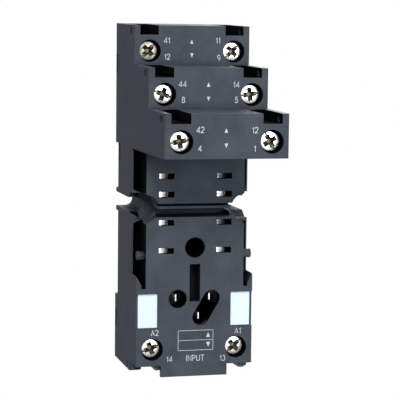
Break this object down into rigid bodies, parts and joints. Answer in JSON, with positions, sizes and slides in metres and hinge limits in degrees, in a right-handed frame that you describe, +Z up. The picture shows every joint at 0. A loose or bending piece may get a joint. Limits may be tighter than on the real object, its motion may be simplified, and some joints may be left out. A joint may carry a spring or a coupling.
{
  "type": "relay socket",
  "caption": "Black rail-mount screw relay socket with three stepped terminal tiers, a bladed relay seat with a waist, module holes, pale marker plates and coil terminals.",
  "frame": {"origin": "middle of the width, on the plane where the mounting rail touches the back, at the rail's centre line", "axes": "+Z up as mounted, towards the three stepped tiers; +Y out of the back into the rail; the relay plugs in from -Y"},
  "size_m": [0.027, 0.05, 0.0811],
  "materials": {
    "black_plastic": "fine satin texture",
    "latch_plastic": "satin",
    "marker_plastic": "satin",
    "screw_steel": "bright nickel plate",
    "cage_steel": "zinc plate",
    "contact_metal": "nickel-plated brass",
    "spring_steel": "bare"
  },
  "bodies": {
    "socket_body": {"front_housing": "black_plastic", "rear_cover": "black_plastic", "latch_spring": "spring_steel", "contact_strip_top_left": "contact_metal", "contact_strip_middle_left": "contact_metal", "contact_strip_front_left": "contact_metal", "contact_strip_coil_left": "contact_metal", "contact_strip_top_right": "contact_metal", "contact_strip_middle_right": "contact_metal", "contact_strip_front_right": "contact_metal", "contact_strip_coil_right": "contact_metal", "module_contact_left": "contact_metal", "module_contact_right": "contact_metal", "module_contact_lower": "contact_metal", "marker_plate_left": "marker_plastic", "marker_plate_right": "marker_plastic"},
    "rail_latch_body": {"rail_latch": "latch_plastic"},
    "screw_top_left": {"terminal_screw_top_left": "screw_steel"},
    "cage_top_left": {"clamp_cage_top_left": "cage_steel"},
    "screw_middle_left": {"terminal_screw_middle_left": "screw_steel"},
    "cage_middle_left": {"clamp_cage_middle_left": "cage_steel"},
    "screw_front_left": {"terminal_screw_front_left": "screw_steel"},
    "cage_front_left": {"clamp_cage_front_left": "cage_steel"},
    "screw_coil_left": {"terminal_screw_coil_left": "screw_steel"},
    "cage_coil_left": {"clamp_cage_coil_left": "cage_steel"},
    "screw_top_right": {"terminal_screw_top_right": "screw_steel"},
    "cage_top_right": {"clamp_cage_top_right": "cage_steel"},
    "screw_middle_right": {"terminal_screw_middle_right": "screw_steel"},
    "cage_middle_right": {"clamp_cage_middle_right": "cage_steel"},
    "screw_front_right": {"terminal_screw_front_right": "screw_steel"},
    "cage_front_right": {"clamp_cage_front_right": "cage_steel"},
    "screw_coil_right": {"terminal_screw_coil_right": "screw_steel"},
    "cage_coil_right": {"clamp_cage_coil_right": "cage_steel"}
  },
  "joints": [
    {"name": "rail_latch_slide", "type": "slide", "parent": "socket_body", "child": "rail_latch_body", "axis": [0, 0, -1], "range_m": [0, 0.003], "stiffness_N_per_m": 1200, "springref_m": -0.002, "deforming": ["latch_spring"]},
    {"name": "screw_turn_top_left", "type": "hinge", "parent": "socket_body", "child": "screw_top_left", "pos_m": [-0.00975, -0.0122, 0.0397], "axis": [0, 1, 0], "range_deg": [0, 1944]},
    {"name": "cage_slide_top_left", "type": "slide", "parent": "socket_body", "child": "cage_top_left", "axis": [0, -1, 0], "range_m": [0, 0.0027]},
    {"name": "screw_turn_middle_left", "type": "hinge", "parent": "socket_body", "child": "screw_middle_left", "pos_m": [-0.00975, -0.0274, 0.03055], "axis": [0, 1, 0], "range_deg": [0, 1944]},
    {"name": "cage_slide_middle_left", "type": "slide", "parent": "socket_body", "child": "cage_middle_left", "axis": [0, -1, 0], "range_m": [0, 0.0027]},
    {"name": "screw_turn_front_left", "type": "hinge", "parent": "socket_body", "child": "screw_front_left", "pos_m": [-0.00975, -0.043, 0.02135], "axis": [0, 1, 0], "range_deg": [0, 1944]},
    {"name": "cage_slide_front_left", "type": "slide", "parent": "socket_body", "child": "cage_front_left", "axis": [0, -1, 0], "range_m": [0, 0.0027]},
    {"name": "screw_turn_coil_left", "type": "hinge", "parent": "socket_body", "child": "screw_coil_left", "pos_m": [-0.00975, -0.017, -0.0273], "axis": [0, 1, 0], "range_deg": [0, 1944]},
    {"name": "cage_slide_coil_left", "type": "slide", "parent": "socket_body", "child": "cage_coil_left", "axis": [0, -1, 0], "range_m": [0, 0.0027]},
    {"name": "screw_turn_top_right", "type": "hinge", "parent": "socket_body", "child": "screw_top_right", "pos_m": [0.00975, -0.0122, 0.0397], "axis": [0, 1, 0], "range_deg": [0, 1944]},
    {"name": "cage_slide_top_right", "type": "slide", "parent": "socket_body", "child": "cage_top_right", "axis": [0, -1, 0], "range_m": [0, 0.0027]},
    {"name": "screw_turn_middle_right", "type": "hinge", "parent": "socket_body", "child": "screw_middle_right", "pos_m": [0.00975, -0.0274, 0.03055], "axis": [0, 1, 0], "range_deg": [0, 1944]},
    {"name": "cage_slide_middle_right", "type": "slide", "parent": "socket_body", "child": "cage_middle_right", "axis": [0, -1, 0], "range_m": [0, 0.0027]},
    {"name": "screw_turn_front_right", "type": "hinge", "parent": "socket_body", "child": "screw_front_right", "pos_m": [0.00975, -0.043, 0.02135], "axis": [0, 1, 0], "range_deg": [0, 1944]},
    {"name": "cage_slide_front_right", "type": "slide", "parent": "socket_body", "child": "cage_front_right", "axis": [0, -1, 0], "range_m": [0, 0.0027]},
    {"name": "screw_turn_coil_right", "type": "hinge", "parent": "socket_body", "child": "screw_coil_right", "pos_m": [0.00975, -0.017, -0.0273], "axis": [0, 1, 0], "range_deg": [0, 1944]},
    {"name": "cage_slide_coil_right", "type": "slide", "parent": "socket_body", "child": "cage_coil_right", "axis": [0, -1, 0], "range_m": [0, 0.0027]}
  ],
  "couplings": [
    {"joint": "screw_turn_top_left", "follows": "cage_slide_top_left", "rad_per_m": 12566},
    {"joint": "screw_turn_middle_left", "follows": "cage_slide_middle_left", "rad_per_m": 12566},
    {"joint": "screw_turn_front_left", "follows": "cage_slide_front_left", "rad_per_m": 12566},
    {"joint": "screw_turn_coil_left", "follows": "cage_slide_coil_left", "rad_per_m": 12566},
    {"joint": "screw_turn_top_right", "follows": "cage_slide_top_right", "rad_per_m": 12566},
    {"joint": "screw_turn_middle_right", "follows": "cage_slide_middle_right", "rad_per_m": 12566},
    {"joint": "screw_turn_front_right", "follows": "cage_slide_front_right", "rad_per_m": 12566},
    {"joint": "screw_turn_coil_right", "follows": "cage_slide_coil_right", "rad_per_m": 12566}
  ]
}
